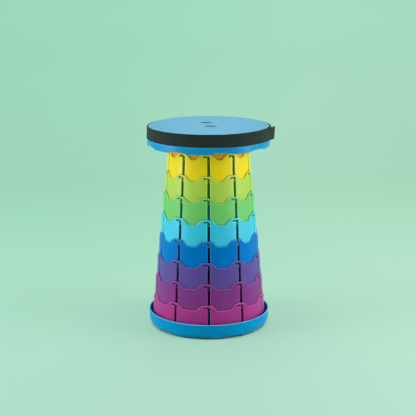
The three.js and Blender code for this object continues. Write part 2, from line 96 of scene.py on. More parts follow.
# Part of a ring's foot that shows through the hook of the ring around it, which gets painted shade
POCKET_LEFT = -11.3
POCKET_MIDDLE = -4.7
POCKET_RIGHT = 3.2
POCKET_FOOT = 1.4
POCKET_STEP = 7
POCKET_TOP = 10.4
POCKET_FADE = 0.5

# Floor flange of the widest ring
FLANGE_BORE = 59.9
FLANGE_GAP = 0.3
FLANGE_THICKNESS = 3
FLANGE_ROUNDING = 0.3

# Seat cover
SEAT_TOP = 426
SEAT_RADIUS = 125
SEAT_PLATE = 3.2
SEAT_WALL = 2.4
SEAT_ROUNDING = 1.6
SEAT_FACE_RADIUS = 112
SKIRT_RADIUS = 127.3
SKIRT_SHOULDER_TOP = 400.3
SKIRT_SHOULDER_FOOT = 398.8
SKIRT_SHOULDER_ROUNDING = 1.4
SKIRT_LOBE_HEIGHT = 385.3
SKIRT_EDGE_ROUNDING = 0.9
SKIRT_ARCHES = {"first": math.radians(11.5), "count": 9, "flat": 0.15, "foot": 0.66, "rise": 3.4}
RECESS_LENGTH = 24
RECESS_WIDTH = 12
RECESS_DEPTH = 1.2
RECESS_MIDDLES = ((4.5, -17), (-4.5, 33))
RECESS_ROUNDING = 0.5

# Base tray
TRAY_RIM_RADIUS = 127.7
TRAY_RIM_HEIGHT = 32.8
TRAY_WALL = 2.4
TRAY_TAPER = 0.8
TRAY_BEND_HEIGHT = 14
TRAY_BEND_REACH = 9.2
TRAY_BEND_STEPS = 7
TRAY_LIFT = 0.5
TRAY_ARCHES = {"first": math.radians(-12), "count": 10, "flat": 0.42, "foot": 0.65, "rise": 4.8}
TRAY_FLOOR_HEIGHT = 5.5
TRAY_FLOOR = 2.5
TRAY_RIM_ROUNDING = 1.15
TRAY_EDGE_ROUNDING = 0.8

# Feet and their cups
FOOT_COUNT = 5
FOOT_RADIUS = 8
FOOT_THICKNESS = 2.5
FOOT_ROUNDING = 0.6
FOOT_GROOVE_RADIUS = 4.6
FOOT_GROOVE_WIDTH = 1.2
FOOT_GROOVE_DEPTH = 0.5
FOOT_CIRCLE = 92.3
CUP_GAP = 0.3
CUP_WALL = 1.7
CUP_LIP = 0.8
CUP_ROUNDING = 0.5

# Bosses on the tray's floor
SCREW_COUNT = 5
BOSS_RADIUS = 4.5
BOSS_BORE = 2.1
BOSS_HEIGHT = 1.9
BOSS_CIRCLE = 69.4
BOSS_ROUNDING = 0.3

# Strap
STRAP_WIDTH = 25.4
STRAP_THICKNESS = 2.8
STRAP_ROUNDING = 0.8
STRAP_FOOT = 400.6
STRAP_INSIDE = 125.3
STRAP_OUTSIDE_LAYER = 128.4
STRAP_START = math.radians(15)
STRAP_CLIMB = math.radians(10)
STRAP_LEAVE = math.radians(64)
STRAP_TAIL = 43
STRAP_TAIL_LEAN = 4.5
STRAP_FLARE = 1.2
STRAP_FRONT_RISE = 0.3
STRAP_BACK_DROP = 0.9
STRAP_STEP = math.radians(2)
STRAP_TAIL_STEP = 4

# Stitches that hold the two patches, shaped by shares of their half length and radius
STITCH_LENGTH = 2.6
STITCH_PITCH = 4
STITCH_RADIUS = 0.3
STITCH_SIDES = 6
STITCH_SHAPE = ((-1, 0), (-0.8, 0.7), (-0.4, 1), (0.4, 1), (0.8, 0.7), (1, 0))
STITCH_INSET = 3
HOOK_PATCH_START = 24
HOOK_PATCH_END = 41
LOOP_PATCH_START = math.radians(76)
LOOP_PATCH_END = math.radians(97)
LOOP_PATCH_THICKNESS = 1.2

# Stage, camera and light
BACKDROP_HALF_WIDTH = 9000
BACKDROP_FRONT = -10000
BACKDROP_BEND = 1400
BACKDROP_BEND_RADIUS = 1200
BACKDROP_HEIGHT = 5000
BACKDROP_GLOW = 0.6
GLOW_START = 120.5
GLOW_END = 123.5
FAR_START = 3000
FAR_END = 4500
# Reach of the painted gradient of light along the floor and up the wall, and of the painted shade
# across
FLOOR_FADE_START = -300
FLOOR_FADE_END = 900
WALL_FADE = 500
SIDE_SHADE_REACH = 400
CAMERA_PLACE = (-0.5, -2268.2, 785)
CAMERA_PITCH = math.radians(13.292)
CAMERA_ROLL = math.radians(0.1)
CAMERA_LENS = 95.715
SIDE_LIGHT = 28
SIDE_LIGHT_SIZE = 1400
SIDE_LIGHT_PLACE = (1700, -480, 700)
TOP_LIGHT = 20
TOP_LIGHT_SIZE = 1500
TOP_LIGHT_PLACE = (0, 300, 2300)
BACK_LIGHT = 2
BACK_LIGHT_SIZE = 900
BACK_LIGHT_PLACE = (0, 1800, 1200)
WORLD_COLOUR = (236, 244, 240)
WORLD_STRENGTH = 0.35

# Looks of the plastic, with painted highlight and painted shade
# Painted highlight on rounded edges
EDGE_STRENGTH = 1
EDGE_BRIGHTNESS = 1.8
EDGE_PALENESS = 0.05
TRAY_EDGE_PALENESS = 0.12
# Painted shade in hollows, which are also rougher
HOLLOW_SHADE = 0.2
HOLLOW_DULL_FROM = 0.95
# Painted shade in narrow gaps
GAP_REACH = 4
GAP_SAMPLES = 8
GAP_SHADE = 0.1
PLASTIC_GLOSS = 0.3
PLASTIC_DEPTH_SHARE = 0.4
PLASTIC_DEPTH = 6
COAT_ROUGHNESS = 0.22
SEAT_COAT = 0.36

# Noise of the surfaces, as scale per metre and detail
CLOUD_NOISE = (18, 3)
SATIN_NOISE = (60, 2)
GRAIN_NOISE = (900, 2)
FIBRE_NOISE = (1600, 3)
DUST_NOISE = (140, 4)
RUBBER_NOISE = (1200, 2)
BRUSHED_NOISE = (300, 2)
POLISHED_NOISE = (800, 2)

# Relief of the surfaces, as strength and height
PLASTIC_RELIEF = (0.12, 0.4)
WEBBING_RELIEF = (0.7, 0.4)
TAPE_RELIEF = (0.9, 0.6)
RUBBER_RELIEF = (0.2, 0.3)

# Shade of a colour and roughness of a surface, each at the low and the high end of its noise
CLOUD_SHADES = (0.95, 1.04)
TAPE_SHADES = (1.5, 0.6)
RUBBER_SHADES = (0.8, 1.4)
STEEL_SHADES = (0.85, 1)
SATIN_ROUGHNESS = (0.36, 0.48)
RUBBER_ROUGHNESS = (0.65, 0.85)
STEEL_ROUGHNESS = (0.25, 0.4)
PAPER_ROUGHNESS = 0.9

# Webbing and tape
RIB_SCALES = {"X": 210, "Y": 150}
RIB_SHAPE = {"Distortion": 0.6, "Detail Scale": 400}
FIBRE_HEIGHT = 0.4
# Painted shade along both edges of the strap
STRAP_EDGE_SHADE_WIDTH = 2
STRAP_EDGE_SHADE = 0.3
PILE_SCALE = 900
WEBBING_SURFACE = {
    "Roughness": 0.85,
    "Specular IOR Level": 0.2,
    "Sheen Weight": 0.08,
    "Sheen Roughness": 0.5,
}
TAPE_SURFACE = {"Roughness": 0.9, "Sheen Weight": 0.3}

# Colours as display values from 0 to 255, with a ring's tint of gloss and weight of coat
RING_LOOKS = {
    "pink": ((164, 51, 131), 0.8, 0.12),
    "violet": ((126, 50, 127), 0.8, 0.15),
    "indigo": ((90, 67, 147), 0.4, 0.15),
    "blue": ((0, 112, 190), 1, 0),
    "cyan": ((24, 184, 220), 0, 0.85),
    "green": ((106, 188, 95), 0, 0.5),
    "lime": ((170, 197, 62), 0, 0.5),
    "yellow": ((243, 204, 6), 0.7, 0.35),
    "orange": ((246, 158, 24), 0, 0),
}
SHELL_COLOUR = (0, 139, 195)
STRAP_COLOUR = (18, 27, 26)
STRAP_THREAD_COLOUR = (36, 48, 47)
TAPE_COLOUR = (30, 33, 33)
STITCH_COLOUR = (48, 54, 52)
RUBBER_COLOUR = (46, 48, 50)
STEEL_COLOUR = (186, 190, 194)
# Backdrop colours change from front to back and up the wall as a painted gradient of light, and the
# left side is darker by painted shade
FLOOR_FRONT_COLOUR = (179, 218, 199)
FLOOR_BACK_COLOUR = (176, 223, 197)
WALL_COLOUR = (177, 230, 203)
LEFT_SIDE_SHADE = (241, 251, 249)
RIGHT_SIDE_SHADE = (255, 255, 255)

# From display values to linear ones
DISPLAY_FULL = 255
DISPLAY_DARK = 10
DISPLAY_SLOPE = 12.92
DISPLAY_OFFSET = 0.055
DISPLAY_POWER = 2.4

# Sockets of a mix node that carry colours
MIX_COLOUR_INPUTS = (0, 6, 7)
MIX_COLOUR_OUTPUT = 2


# Lines and surfaces

def rounded_line(corners, closed=False):
    """Points and outward normals along a line with rounded corners and material on its left."""
    count = len(corners)
    points = []
    for i, (x, y, radius) in enumerate(corners):
        here = Vector((x, y))
        before = Vector(corners[(i - 1) % count][:2])
        after = Vector(corners[(i + 1) % count][:2])
        first = not closed and i == 0
        last = not closed and i == count - 1
        going_in = (after - here if first else here - before).normalized()
        going_out = (here - before if last else after - here).normalized()
        turn = math.atan2(going_in.cross(going_out), going_in.dot(going_out))
        side = math.copysign(1, turn)
        normal = Vector((going_in.y, -going_in.x))
        start = here - going_in * radius * math.tan(abs(turn) / 2)
        centre = start - side * radius * normal
        steps = max(1, math.ceil(abs(turn) / ARC_STEP)) if radius else 0
        for j in range(steps + 1):
            angle = turn * j / max(1, steps)
            across = Vector((normal.x * math.cos(angle) - normal.y * math.sin(angle),
                             normal.x * math.sin(angle) + normal.y * math.cos(angle)))
            points.append((*(centre + side * radius * across), *across))
    return points


def spread(line, closed=False):
    """The same line with more points on its long straight stretches."""
    points = []
    pairs = zip(line, line[1:] + line[:1]) if closed else zip(line, line[1:])
    for here, after in pairs:
        steps = max(1, math.ceil(math.dist(here[:2], after[:2]) / FACE_STEP))
        for j in range(steps):
            points.append(tuple(a + (b - a) * j / steps for a, b in zip(here, after)))
    if not closed:
        points.append(line[-1])
    return points


def inset(line, offset):
    """The points of a line, moved into its material."""
    return [(x - nx * offset, y - ny * offset) for x, y, nx, ny in line]


def inside(point, outline):
    """True if a closed outline goes round the point."""
    x, y = point
    crossings = 0
    for (ax, ay), (bx, by) in zip(outline, outline[1:] + outline[:1]):
        if (ay > y) != (by > y) and x < ax + (y - ay) * (bx - ax) / (by - ay):
            crossings += 1
    return crossings % 2 == 1


def triangulate(outline, holes, seams):
    """Even triangles inside an outline and outside its holes, with edges along its seams."""
    loops = [outline, *holes, *seams]
    points = [point for loop in loops for point in loop]
    edges = []
    first = 0
    for loop in loops:
        edges += [(first + i, first + (i + 1) % len(loop)) for i in range(len(loop))]
        first += len(loop)
    low_x, high_x = min(x for x, _ in outline), max(x for x, _ in outline)
    low_y, high_y = min(y for _, y in outline), max(y for _, y in outline)

    def open_face(point):
        return inside(point, outline) and not any(inside(point, hole) for hole in holes)

    free = []
    for i in range(1, math.ceil((high_x - low_x) / FACE_STEP)):
        for j in range(1, math.ceil((high_y - low_y) / FACE_STEP)):
            grid = (low_x + i * FACE_STEP, low_y + (j + (i % 2) / 2) * FACE_STEP)
            if open_face(grid) and min(math.dist(grid, point) for point in points) > FACE_STEP / 2:
                free.append(grid)
    result = delaunay_2d_cdt([Vector(p) for p in points + free], edges, [], 0, WELD)
    places, faces = [tuple(v) for v in result[0]], result[2]
    kept = []
    for face in faces:
        middle = tuple(sum(places[i][axis] for i in face) / len(face) for axis in (0, 1))
        if open_face(middle):
            kept.append(tuple(face))
    return places, kept


class Skin:
    """Collects welded points with their normals and edge values, and the faces between them. An edge
    value above 0 is a painted highlight, below 0 painted shade.
    """

    def __init__(self):
        self.points = []
        self.normals = []
        self.edge = []
        self.uvs = []
        self.faces = []
        self.numbers = {}

    def point(self, place, normal, edge=0, uv=(0, 0)):
        key = (tuple(round(value / WELD) for value in place), uv)
        if key not in self.numbers:
            self.numbers[key] = len(self.points)
            self.points.append(Vector(place) * MM)
            self.normals.append(Vector(normal).normalized())
            self.edge.append(edge)
            self.uvs.append(uv)
        return self.numbers[key]

    def face(self, corners):
        kept = [corner for i, corner in enumerate(corners) if corner != corners[i - 1]]
        if len(kept) > 2:
            self.faces.append(kept)

    def bands(self, rows, closed):
        """Quads between rows of point numbers. Each row lies to the right of the one before."""
        for near, far in zip(rows, rows[1:]):
            count = len(near)
            for i in range(count if closed else count - 1):
                j = (i + 1) % count
                self.face([near[i], far[i], far[j], near[j]])

    def build(self, name):
        mesh = bpy.data.meshes.new(name)
        mesh.from_pydata(self.points, [], self.faces)
        mesh.validate()
        mesh.attributes.new("edge", "FLOAT", "POINT").data.foreach_set("value", self.edge)
        layer = mesh.uv_layers.new(name="along")
        for loop in mesh.loops:
            layer.data[loop.index].uv = self.uvs[loop.vertex_index]
        mesh.shade_smooth()
        mesh.normals_split_custom_set_from_vertices(self.normals)
        thing = bpy.data.objects.new(name, mesh)
        bpy.context.scene.collection.objects.link(thing)
        return thing


def around(radius, azimuth, height):
    return (radius * math.sin(azimuth), -radius * math.cos(azimuth), height)


def turned(skin, profile_at, steps, middle=(0, 0)):
    """Turns a profile of radii, heights and normals round an upright axis."""
    columns = []
    for i in range(steps):
        azimuth = 2 * math.pi * i / steps
        column = []
        for radius, height, out, up in profile_at(azimuth):
            x, y, z = around(max(radius, 0), azimuth, height)
            normal = around(out, azimuth, up) if radius > WELD else (0, 0, up)
            # Painted highlight on rounded edges that face upwards
            painted_highlight = 2 * abs(out) * max(up, 0)
            column.append(skin.point((x + middle[0], y + middle[1], z), normal, painted_highlight))
        columns.append(column)
    for i in range(steps):
        here, after = columns[i], columns[(i + 1) % steps]
        for j in range(len(here) - 1):
            skin.face([here[j], after[j], after[j + 1], here[j + 1]])
    return columns


def smooth_step(value):
    """Eases a value from 0 to 1."""
    share = min(1, max(0, value))
    return share * share * (3 - 2 * share)


def arch_height(azimuth, arches):
    """Height of a wavy edge above its lobes."""
    turns = (azimuth - arches["first"]) * arches["count"] / (2 * math.pi)
    offset = 2 * abs(turns - round(turns))
    fall = smooth_step((offset - arches["flat"]) / (arches["foot"] - arches["flat"]))
    return arches["rise"] * (1 - fall)


def edge_profile(wall, rounding, chamfer):
    """Offset, depth and tilt of the rows round a wall's edge, from its outer to its inner face."""
    rows = []
    for j in range(EDGE_STEPS + 1):
        tilt = math.pi / 2 * j / EDGE_STEPS
        rows.append((rounding * (1 - math.sin(tilt)), rounding * (1 - math.cos(tilt)), tilt))
    rows.append((0, wall - chamfer, math.pi / 2))
    rows.append((chamfer, wall, math.pi))
    return rows


# Rings

def sector_lines(crest_radius, foot):
    """Upper edge, lower edge and slot of one sector, along the crest circle and above the foot."""
    length = 2 * math.pi * crest_radius / SECTORS
    trough_length = length - CREST_LEFT - CREST_RIGHT - 2 * CREST_RUN
    right_end = CREST_RIGHT + CREST_RUN + trough_length / 2
    left_end = right_end - length
    top = RING_HEIGHT
    trough = top - CREST_DROP
    upper = rounded_line([
        (right_end, trough, 0),
        (CREST_RIGHT + CREST_RUN, trough, TROUGH_ROUNDING),
        (CREST_RIGHT, top, CREST_ROUNDING),
        (-CREST_LEFT, top, CREST_ROUNDING),
        (-CREST_LEFT - CREST_RUN, trough, TROUGH_ROUNDING),
        (left_end, trough, 0),
    ])
    lower = rounded_line([(left_end, foot, 0), (right_end, foot, 0)])
    left = -SLOT_WIDTH / 2
    tongue_left = left - TONGUE_WIDTH
    leg_left = tongue_left - LEG_WIDTH
    hook = rounded_line([
        (left, SLOT_FOOT, SLOT_ROUNDING),
        (left, top - TONGUE_DROP, TONGUE_ROUNDING),
        (tongue_left, top - TONGUE_DROP, LEG_ROUNDING),
        (tongue_left, top - LEG_DROP, LEG_ROUNDING),
        (leg_left, top - LEG_DROP, SLOT_ROUNDING),
        (leg_left, top - ROOF_DROP, SLOT_ROUNDING),
        (-left, top - ROOF_DROP, ROOF_ROUNDING),
        (-left, SLOT_FOOT, SLOT_ROUNDING),
    ], closed=True)
    return spread(upper), spread(lower), spread(hook, closed=True)


class RingPlace:
    """Places points of one sector on a ring's tapered wall."""

    def __init__(self, crest_radius, foot_height, sector):
        self.crest_radius = crest_radius
        self.foot_height = foot_height
        self.turn = 2 * math.pi * sector / SECTORS

    def place(self, along, height, depth):
        radius = self.crest_radius + RING_DRAFT * (RING_HEIGHT - height) - depth
        return around(radius, self.turn + along / self.crest_radius, self.foot_height + height)

    def normal(self, along, across, tilt):
        azimuth = self.turn + along / self.crest_radius
        outward = Vector(around(1, azimuth, RING_DRAFT)).normalized()
        sideways = Vector((math.cos(azimuth), math.sin(azimuth), 0))
        upward = outward.cross(sideways)
        edge = sideways * across[0] + upward * across[1]
        return outward * math.cos(tilt) + edge * math.sin(tilt)


def edge_rows(skin, place, line, profile, dark_below=-math.inf):
    """Rows of points along a line, one for each step of the profile, with a painted highlight on the
    rounding and painted shade below a height.
    """
    rows = []
    for offset, depth, tilt in profile:
        row = []
        for x, y, nx, ny in line:
            spot = place.place(x - nx * offset, y - ny * offset, depth)
            # Below the height the rows get painted shade, elsewhere a painted highlight that grows
            # with the tilt
            edge = -1 if y < dark_below else math.sin(tilt)
            row.append(skin.point(spot, place.normal(x, (nx, ny), tilt), edge))
        rows.append(row)
    return rows


def pocket_outline(offset):
    """Outline of the part of a foot that shows through a hook, drawn in by an offset."""
    left, middle, right = POCKET_LEFT + offset, POCKET_MIDDLE - offset, POCKET_RIGHT - offset
    foot, step, top = POCKET_FOOT + offset, POCKET_STEP - offset, POCKET_TOP - offset
    return [(left, foot), (right, foot), (right, step), (middle, step), (middle, top), (left, top)]


def sector_face(lines, offset, slotted, seams):
    """Flat triangles of a sector's face, with its edges drawn in by an offset."""
    upper, lower, hook = (inset(line, offset) for line in lines)
    right_bottom, right_top = lower[-1], upper[0]
    steps = math.ceil((right_top[1] - right_bottom[1]) / FACE_STEP)
    levels = [right_bottom[1] + (right_top[1] - right_bottom[1]) * j / steps for j in range(1, steps)]
    right = [(right_top[0], level) for level in levels]
    left = [(upper[-1][0], level) for level in reversed(levels)]
    return triangulate([*lower, *right, *upper, *left], [hook] if slotted else [], seams)


def add_peg(skin, place):
    """Slanted lock peg, whose root lies inside the wall."""
    half_width, half_height = PEG_WIDTH / 2, PEG_HEIGHT / 2
    outline = spread(rounded_line([(x, PEG_MIDDLE + y, PEG_ROUNDING) for x, y in [
        (-half_width, PEG_SHOULDER),
        (0, -half_height),
        (half_width, -half_height),
        (half_width, -PEG_SHOULDER),
        (0, half_height),
        (-half_width, half_height),
    ]], closed=True), closed=True)
    profile = [
        (PEG_ROUNDING, -PEG_REACH, 0),
        (0, PEG_ROUNDING - PEG_REACH, math.pi / 2),
        (0, PEG_ROOT, math.pi / 2),
    ]
    # The whole peg gets painted shade
    rows = edge_rows(skin, place, outline, profile, POCKET_TOP)
    skin.bands(rows, closed=True)
    skin.face(rows[0])
    skin.face(rows[-1][::-1])


def add_flange(skin):
    """Inward flange that the widest ring stands on."""
    foot_radius = WIDEST_CREST_RADIUS + RING_DRAFT * RING_HEIGHT
    outer = foot_radius - RING_WALL / 2
    top = WIDEST_FOOT - FLANGE_GAP
    bottom = top - FLANGE_THICKNESS
    profile = rounded_line([
        (FLANGE_BORE, bottom, FLANGE_ROUNDING),
        (outer, bottom, FLANGE_ROUNDING),
        (outer, top, FLANGE_ROUNDING),
        (FLANGE_BORE, top, FLANGE_ROUNDING),
    ], closed=True)
    turned(skin, lambda azimuth: profile + profile[:1], CIRCLE_STEPS)


def ring_shell(number):
    """One tapered ring with its wavy edge, its hooked slots and its pegs."""
    crest_radius = WIDEST_CREST_RADIUS - RING_STEP * number
    foot_height = WIDEST_FOOT + RING_PITCH * number
    foot = -(FLANGE_GAP + FLANGE_THICKNESS) if number == 0 else 0
    lines = sector_lines(crest_radius, foot)
    profile = edge_profile(RING_WALL, EDGE_ROUNDING, EDGE_CHAMFER)
    seams = [pocket_outline(0), pocket_outline(POCKET_FADE)]
    pocket = pocket_outline(POCKET_FADE / 2)
    sector_faces = {}
    for slotted in (False, True):
        outer = sector_face(lines, profile[0][0], slotted, seams)
        inner = sector_face(lines, profile[-1][0], slotted, [])
        sector_faces[slotted] = ((outer, 0, 0), (inner, RING_WALL, math.pi))
    skin = Skin()
    for sector in range(SECTORS):
        slotted = sector not in CLOSED_SECTORS
        place = RingPlace(crest_radius, foot_height, sector)
        for line in lines[:2]:
            skin.bands(edge_rows(skin, place, line, profile), closed=False)
        if slotted:
            # The slot's edge below the pocket's top gets painted shade
            dark_below = POCKET_TOP if number > 0 else -math.inf
            skin.bands(edge_rows(skin, place, lines[2], profile, dark_below), closed=True)
        for (places, faces), depth, tilt in sector_faces[slotted]:
            corners = []
            for x, y in places:
                # The foot where it shows through the hook of the ring around it gets painted shade
                shade = -1 if depth == 0 and number > 0 and inside((x, y), pocket) else 0
                normal = place.normal(x, (0, 0), tilt)
                corners.append(skin.point(place.place(x, y, depth), normal, shade))
            for face in faces:
                skin.face([corners[i] for i in (face if depth == 0 else face[::-1])])
        if number > 0 and slotted:
            add_peg(skin, place)
    if number == 0:
        add_flange(skin)
    return skin.build("ring_shell_" + RING_NAMES[number])


# Seat

def seat_profile(azimuth):
    """The seat cover's section, from the middle of its underside to the rim of its top face."""
    edge = SKIRT_LOBE_HEIGHT + arch_height(azimuth, SKIRT_ARCHES)
    underside = SEAT_TOP - SEAT_PLATE
    return rounded_line([
        (0, underside, 0),
        (SEAT_RADIUS - SEAT_WALL, underside, SEAT_ROUNDING),
        (SEAT_RADIUS - SEAT_WALL, SKIRT_SHOULDER_TOP, SKIRT_SHOULDER_ROUNDING),
        (SKIRT_RADIUS - SEAT_WALL, SKIRT_SHOULDER_FOOT, SKIRT_SHOULDER_ROUNDING),
        (SKIRT_RADIUS - SEAT_WALL, edge, SKIRT_EDGE_ROUNDING),
        (SKIRT_RADIUS, edge, SKIRT_EDGE_ROUNDING),
        (SKIRT_RADIUS, SKIRT_SHOULDER_FOOT, SKIRT_SHOULDER_ROUNDING),
        (SEAT_RADIUS, SKIRT_SHOULDER_TOP, SKIRT_SHOULDER_ROUNDING),
        (SEAT_RADIUS, SEAT_TOP, SEAT_ROUNDING),
        (SEAT_FACE_RADIUS, SEAT_TOP, 0),
    ])


def recess_outline(x, y):
    """Points and normals of an oval recess, with the seat's material on its left."""
    points = []
    for i in range(ROUND_STEPS):
        angle = -2 * math.pi * i / ROUND_STEPS
        run, rise = math.cos(angle), math.sin(angle)
        across = Vector((-RECESS_WIDTH * run, -RECESS_LENGTH * rise)).normalized()
        points.append((x + RECESS_LENGTH / 2 * run, y + RECESS_WIDTH / 2 * rise, *across))
    return points


def add_seat_face(skin, rim):
    """Flat top face with its two plain oval recesses."""
    outline = [tuple(value / MM for value in skin.points[number][:2]) for number in rim]
    recesses = [recess_outline(*middle) for middle in RECESS_MIDDLES]
    profile = edge_profile(RECESS_DEPTH, RECESS_ROUNDING, RECESS_ROUNDING)
    holes = [inset(line, profile[0][0]) for line in recesses]
    places, faces = triangulate(outline, holes, [])
    corners = [skin.point((x, y, SEAT_TOP), (0, 0, 1)) for x, y in places]
    for face in faces:
        skin.face([corners[i] for i in face])
    for line in recesses:
        rows = []
        for offset, depth, tilt in profile:
            inwards = -offset if tilt == math.pi else offset
            lean = 0 if tilt == math.pi else tilt
            row = []
            for x, y, nx, ny in line:
                place = (x - nx * inwards, y - ny * inwards, SEAT_TOP - depth)
                normal = (nx * math.sin(lean), ny * math.sin(lean), math.cos(lean))
                # The recess below the top face gets painted shade
                row.append(skin.point(place, normal, -1 if depth > 0 else 0))
            rows.append(row)
        skin.bands(rows, closed=True)
        skin.face(rows[-1][::-1])


def seat_shell():
    skin = Skin()
    columns = turned(skin, seat_profile, CIRCLE_STEPS)
    add_seat_face(skin, [column[-1] for column in columns])
    return skin.build("seat_shell")


# Base tray

def tray_outside_at(height):
    """Outer radius of the tray's wall, which bends in below."""
    bend_radius = TRAY_RIM_RADIUS - TRAY_TAPER
    if height >= TRAY_BEND_HEIGHT:
        share = (height - TRAY_BEND_HEIGHT) / (TRAY_RIM_HEIGHT - TRAY_BEND_HEIGHT)
        return bend_radius + TRAY_TAPER * share
    return bend_radius - TRAY_BEND_REACH * (1 - height / TRAY_BEND_HEIGHT) ** 2


def smooth_line(places):
    """Points and outward normals along a smooth line with material on its left."""
    points = []
    for i, (x, y) in enumerate(places):
        before = places[max(0, i - 1)]
        after = places[min(len(places) - 1, i + 1)]
        run = Vector((after[0] - before[0], after[1] - before[1])).normalized()
        points.append((x, y, run.y, -run.x))
    return points


def tray_profile(azimuth):
    """The tray's section, from the middle of its underside to the middle of its floor."""
    edge = TRAY_LIFT + arch_height(azimuth, TRAY_ARCHES)
    floor_top = TRAY_FLOOR_HEIGHT + TRAY_FLOOR
    foot = edge + TRAY_EDGE_ROUNDING
    rise = TRAY_BEND_HEIGHT - foot
    heights = [foot + rise * j / TRAY_BEND_STEPS for j in range(TRAY_BEND_STEPS + 1)]
    outer = smooth_line([(tray_outside_at(height), height) for height in heights])
    inner_foot = tray_outside_at(TRAY_FLOOR_HEIGHT) - TRAY_WALL
    below = rounded_line([
        (0, TRAY_FLOOR_HEIGHT, 0),
        (inner_foot, TRAY_FLOOR_HEIGHT, 0),
    ])
    edge_line = rounded_line([
        (inner_foot, TRAY_FLOOR_HEIGHT, 0),
        (tray_outside_at(edge) - TRAY_WALL, edge, TRAY_EDGE_ROUNDING),
        (tray_outside_at(edge), edge, TRAY_EDGE_ROUNDING),
        (tray_outside_at(foot), foot, 0),
    ])
    upper = rounded_line([
        (tray_outside_at(TRAY_BEND_HEIGHT), TRAY_BEND_HEIGHT, 0),
        (TRAY_RIM_RADIUS, TRAY_RIM_HEIGHT, TRAY_RIM_ROUNDING),
        (TRAY_RIM_RADIUS - TRAY_WALL, TRAY_RIM_HEIGHT, TRAY_RIM_ROUNDING),
        (tray_outside_at(TRAY_BEND_HEIGHT) - TRAY_WALL, TRAY_BEND_HEIGHT, TRAY_BEND_HEIGHT),
        (tray_outside_at(floor_top) - TRAY_WALL, floor_top, TRAY_EDGE_ROUNDING),
        (0, floor_top, 0),
    ])
    return below + edge_line[1:-1] + outer + upper[1:]


def add_cup(skin, middle):
    """Cup below the tray's floor that holds a foot."""
    recess = FOOT_RADIUS + CUP_GAP
    roof = FOOT_THICKNESS + CUP_GAP
    root = TRAY_FLOOR_HEIGHT + TRAY_FLOOR / 2
    profile = rounded_line([
        (0, roof, 0),
        (recess, roof, CUP_ROUNDING),
        (recess, CUP_LIP, CUP_ROUNDING),
        (recess + CUP_WALL, CUP_LIP, CUP_ROUNDING),
        (recess + CUP_WALL, root, CUP_ROUNDING),
        (0, root, 0),
    ])
    turned(skin, lambda azimuth: profile, ROUND_STEPS, middle)


def add_boss(skin, middle):
    """Boss on the tray's floor with a hole for a screw."""
    low = TRAY_FLOOR_HEIGHT + TRAY_FLOOR / 2
    high = TRAY_FLOOR_HEIGHT + TRAY_FLOOR + BOSS_HEIGHT
    profile = rounded_line([
        (BOSS_BORE, low, BOSS_ROUNDING),
        (BOSS_RADIUS, low, BOSS_ROUNDING),
        (BOSS_RADIUS, high, BOSS_ROUNDING),
        (BOSS_BORE, high, BOSS_ROUNDING),
    ], closed=True)
    turned(skin, lambda azimuth: profile + profile[:1], ROUND_STEPS, middle)


def foot_middles():
    middles = {"rubber_foot_middle": (0, 0)}
    for i in range(FOOT_COUNT):
        middles[f"rubber_foot_{i + 1}"] = around(FOOT_CIRCLE, 2 * math.pi * i / FOOT_COUNT, 0)[:2]
    return middles


def boss_middles():
    azimuths = [math.pi / SECTORS + 2 * math.pi * i / SCREW_COUNT for i in range(SCREW_COUNT)]
    return [around(BOSS_CIRCLE, azimuth, 0)[:2] for azimuth in azimuths]


def tray_shell():
    skin = Skin()
    turned(skin, tray_profile, CIRCLE_STEPS)
    for middle in foot_middles().values():
        add_cup(skin, middle)
    for middle in boss_middles():
        add_boss(skin, middle)
    return skin.build("tray_shell")


def rubber_foot(name, middle):
    """Round foot with a rounded rim and a ring groove on its sole."""
    groove_inner = FOOT_GROOVE_RADIUS - FOOT_GROOVE_WIDTH
    profile = rounded_line([
        (0, 0, 0),
        (groove_inner, 0, FOOT_GROOVE_DEPTH / 2),
        (groove_inner, FOOT_GROOVE_DEPTH, FOOT_GROOVE_DEPTH / 2),
        (FOOT_GROOVE_RADIUS, FOOT_GROOVE_DEPTH, FOOT_GROOVE_DEPTH / 2),
        (FOOT_GROOVE_RADIUS, 0, FOOT_GROOVE_DEPTH / 2),
        (FOOT_RADIUS, 0, FOOT_ROUNDING),
        (FOOT_RADIUS, FOOT_THICKNESS, FOOT_ROUNDING),
        (0, FOOT_THICKNESS, 0),
    ])
    skin = Skin()
    turned(skin, lambda azimuth: profile, ROUND_STEPS, middle)
    return skin.build(name)


# Strap

def strap_radius_at(azimuth):
    """Inner radius of the strap: one turn on the skirt, then a climb over its own start."""
    climbed = (azimuth - (STRAP_START + 2 * math.pi - STRAP_CLIMB)) / STRAP_CLIMB
    return STRAP_INSIDE + (STRAP_OUTSIDE_LAYER - STRAP_INSIDE) * smooth_step(climbed)


def tail_point(along, outwards):
    """Point of the loose tail, a distance along it and a distance outwards."""
    radius = STRAP_OUTSIDE_LAYER + outwards
    return (radius * math.sin(STRAP_LEAVE) + along * math.cos(STRAP_LEAVE),
            -radius * math.cos(STRAP_LEAVE) + along * math.sin(STRAP_LEAVE))


def strap_lift(y):
    """The strap lies a little higher at the front than at the back."""
    share = min(1, max(0, 0.5 - y / STRAP_INSIDE))
    return STRAP_FRONT_RISE * share - STRAP_BACK_DROP * (1 - share)


def strap_stations():
    """Inner points of the strap, their outward direction, share of the tail and length so far."""
    end = STRAP_LEAVE + 2 * math.pi
    steps = math.ceil((end - STRAP_START) / STRAP_STEP)
    outward = Vector((math.sin(STRAP_LEAVE), -math.cos(STRAP_LEAVE)))
    stations = []
    for i in range(steps + 1):
        azimuth = STRAP_START + (end - STRAP_START) * i / steps
        stations.append((Vector(around(strap_radius_at(azimuth), azimuth, 0)[:2]),
                         Vector((math.sin(azimuth), -math.cos(azimuth))), 0))
    tail_steps = math.ceil(STRAP_TAIL / STRAP_TAIL_STEP)
    for i in range(1, tail_steps + 1):
        share = i / tail_steps
        stations.append((Vector(tail_point(STRAP_TAIL * share, 0)), outward, share))
    lengths = [0]
    for (before, *_), (here, *_) in zip(stations, stations[1:]):
        lengths.append(lengths[-1] + (here - before).length)
    return [(*station, length) for station, length in zip(stations, lengths)]


